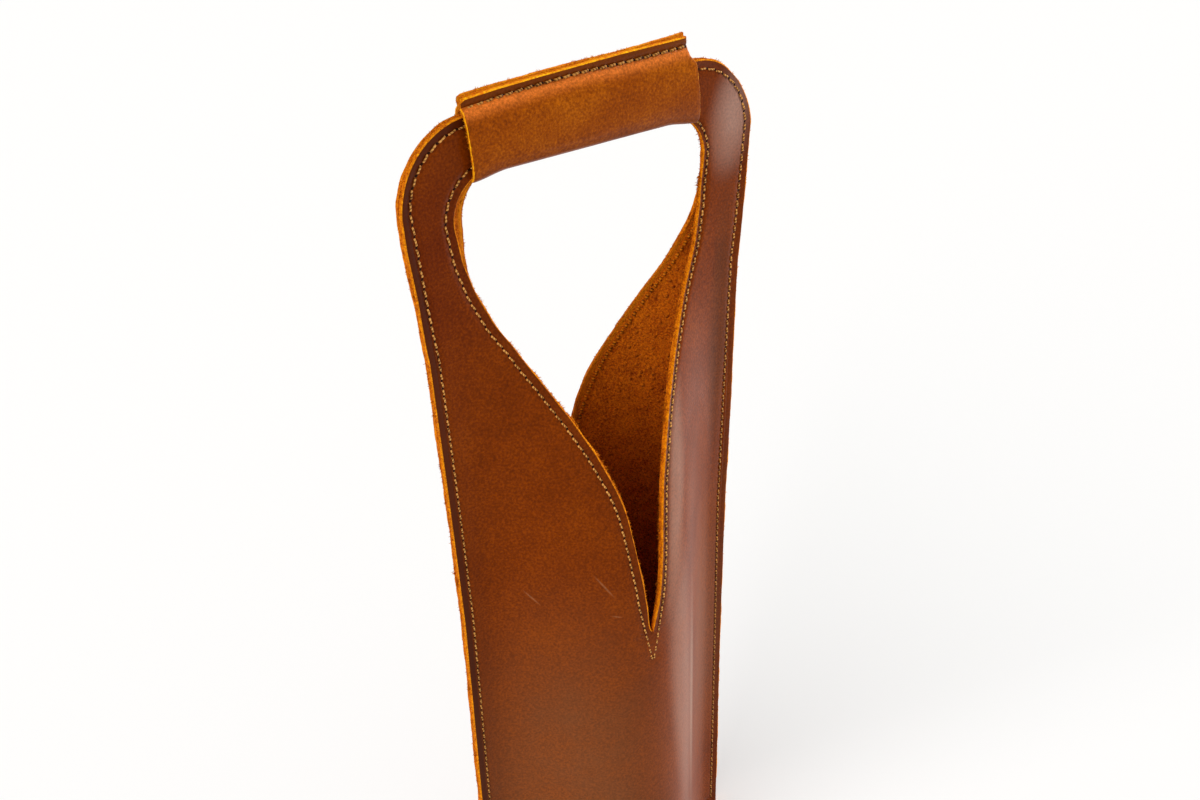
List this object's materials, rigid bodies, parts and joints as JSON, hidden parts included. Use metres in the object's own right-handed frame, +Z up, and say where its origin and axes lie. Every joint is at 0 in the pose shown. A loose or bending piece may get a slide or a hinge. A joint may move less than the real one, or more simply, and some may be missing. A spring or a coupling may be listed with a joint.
{
  "type": "leather bottle carrier",
  "caption": "Upright leather carrier for a wine bottle: sewn panels bulging round the bottle, a slit mouth widening into a hand hole, and a sleeved handle.",
  "frame": {"origin": "middle of the foot, on the surface that the carrier stands on", "axes": "+Z up along the bottle, -Y the front, +X to the right as seen from the front"},
  "size_m": [0.1672, 0.0786, 0.4235],
  "materials": {
    "panel_leather": "waxed pull-up grain, semi-gloss, raw cut edges",
    "sleeve_leather": "pull-up grain, lightened where it is folded, semi-gloss",
    "sewing_thread": "waxed bonded thread"
  },
  "bodies": {
    "root": {"front_panel": "panel_leather", "back_panel": "panel_leather", "handle_sleeve": "sleeve_leather", "base_leather": "panel_leather", "outer_seam_needle_thread": "sewing_thread", "outer_seam_bobbin_thread": "sewing_thread", "front_mouth_needle_thread": "sewing_thread", "front_mouth_bobbin_thread": "sewing_thread", "back_mouth_needle_thread": "sewing_thread", "back_mouth_bobbin_thread": "sewing_thread", "handle_seam_needle_thread": "sewing_thread", "handle_seam_bobbin_thread": "sewing_thread", "base_seam_needle_thread": "sewing_thread", "base_seam_bobbin_thread": "sewing_thread"}
  },
  "joints": []
}
